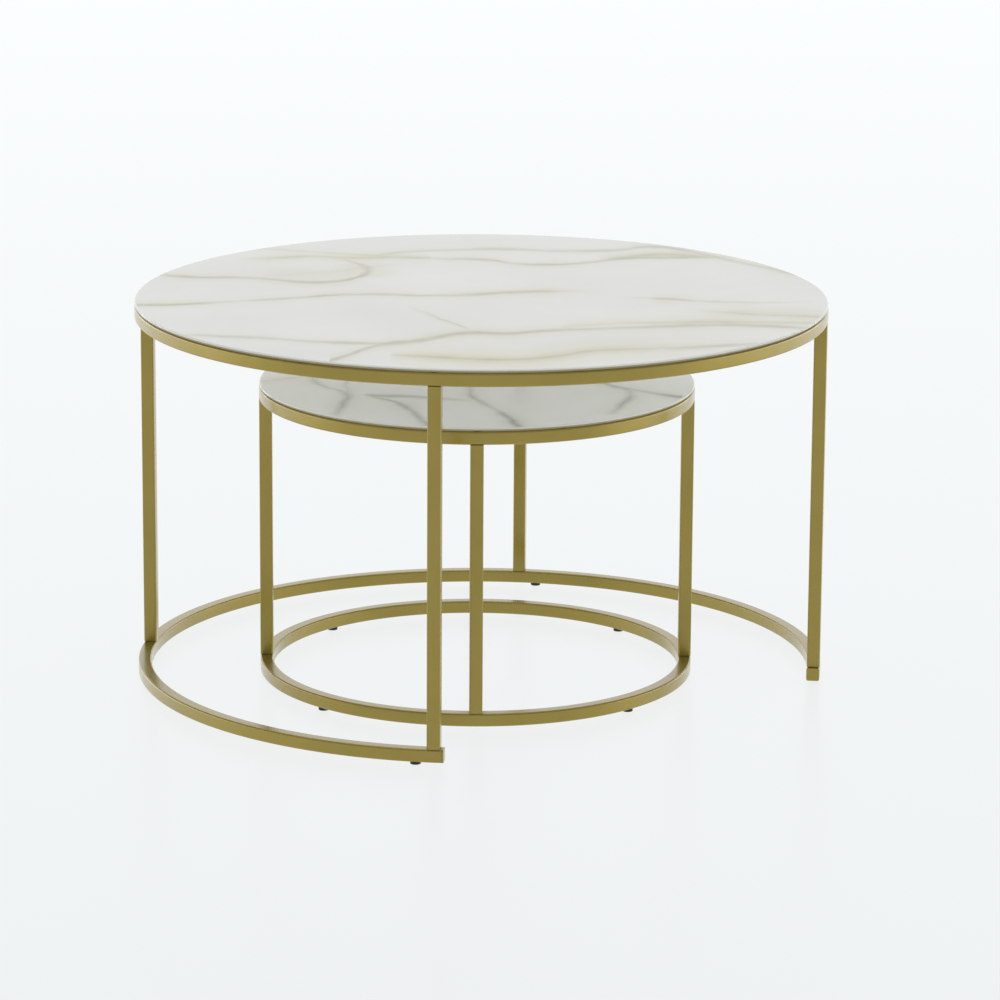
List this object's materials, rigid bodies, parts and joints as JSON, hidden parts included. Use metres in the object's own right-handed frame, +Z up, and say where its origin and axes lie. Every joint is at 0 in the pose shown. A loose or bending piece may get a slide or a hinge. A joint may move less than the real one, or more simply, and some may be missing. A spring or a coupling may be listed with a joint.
{
  "type": "nesting tables",
  "caption": "Round nesting coffee tables: gold square-tube frames, white marble-effect glass tops, the smaller one sliding out through a gap in the larger one's base ring.",
  "frame": {"origin": "on the floor, under the centre of the large table's round top", "axes": "+Z up; -Y is the open side of the large table's base, where the small table pulls out; +X to the right of someone facing that open side"},
  "size_m": [0.8, 0.8, 0.445],
  "materials": {
    "gold_steel": "satin champagne-gold lacquer over steel tube",
    "marble_glass": "tempered glass, back-printed with white marble, polished",
    "clear_silicone": "clear silicone adhesive dots",
    "black_plastic": "matt black moulded glides",
    "zinc_steel": "zinc plated"
  },
  "bodies": {
    "large_table": {"large_glass_top": "marble_glass", "large_top_ring": "gold_steel", "large_base_ring": "gold_steel", "large_leg_front_right": "gold_steel", "large_leg_rear_right": "gold_steel", "large_leg_rear_left": "gold_steel", "large_leg_front_left": "gold_steel", "large_base_bolt_front_right": "zinc_steel", "large_base_bolt_rear_right": "zinc_steel", "large_base_bolt_rear_left": "zinc_steel", "large_base_bolt_front_left": "zinc_steel", "large_top_bolt_front_right": "zinc_steel", "large_top_bolt_rear_right": "zinc_steel", "large_top_bolt_rear_left": "zinc_steel", "large_top_bolt_front_left": "zinc_steel", "large_glide_front_right": "black_plastic", "large_glide_rear_right": "black_plastic", "large_glide_rear_left": "black_plastic", "large_glide_front_left": "black_plastic", "large_glass_pad_1": "clear_silicone", "large_glass_pad_2": "clear_silicone", "large_glass_pad_3": "clear_silicone", "large_glass_pad_4": "clear_silicone", "large_glass_pad_5": "clear_silicone", "large_glass_pad_6": "clear_silicone", "large_glass_pad_7": "clear_silicone", "large_glass_pad_8": "clear_silicone", "large_end_cap_right": "gold_steel", "large_end_cap_left": "gold_steel"},
    "small_table": {"small_glass_top": "marble_glass", "small_top_ring": "gold_steel", "small_base_ring": "gold_steel", "small_leg_front_right": "gold_steel", "small_leg_rear_right": "gold_steel", "small_leg_rear_left": "gold_steel", "small_leg_front_left": "gold_steel", "small_base_bolt_front_right": "zinc_steel", "small_base_bolt_rear_right": "zinc_steel", "small_base_bolt_rear_left": "zinc_steel", "small_base_bolt_front_left": "zinc_steel", "small_top_bolt_front_right": "zinc_steel", "small_top_bolt_rear_right": "zinc_steel", "small_top_bolt_rear_left": "zinc_steel", "small_top_bolt_front_left": "zinc_steel", "small_glide_front_right": "black_plastic", "small_glide_rear_right": "black_plastic", "small_glide_rear_left": "black_plastic", "small_glide_front_left": "black_plastic", "small_glass_pad_1": "clear_silicone", "small_glass_pad_2": "clear_silicone", "small_glass_pad_3": "clear_silicone", "small_glass_pad_4": "clear_silicone", "small_glass_pad_5": "clear_silicone", "small_glass_pad_6": "clear_silicone", "small_glass_pad_7": "clear_silicone", "small_glass_pad_8": "clear_silicone"}
  },
  "joints": [
    {"name": "small_table_slide", "type": "slide", "parent": "large_table", "child": "small_table", "axis": [0, -1, 0], "range_m": [-0.12, 0.7]}
  ]
}
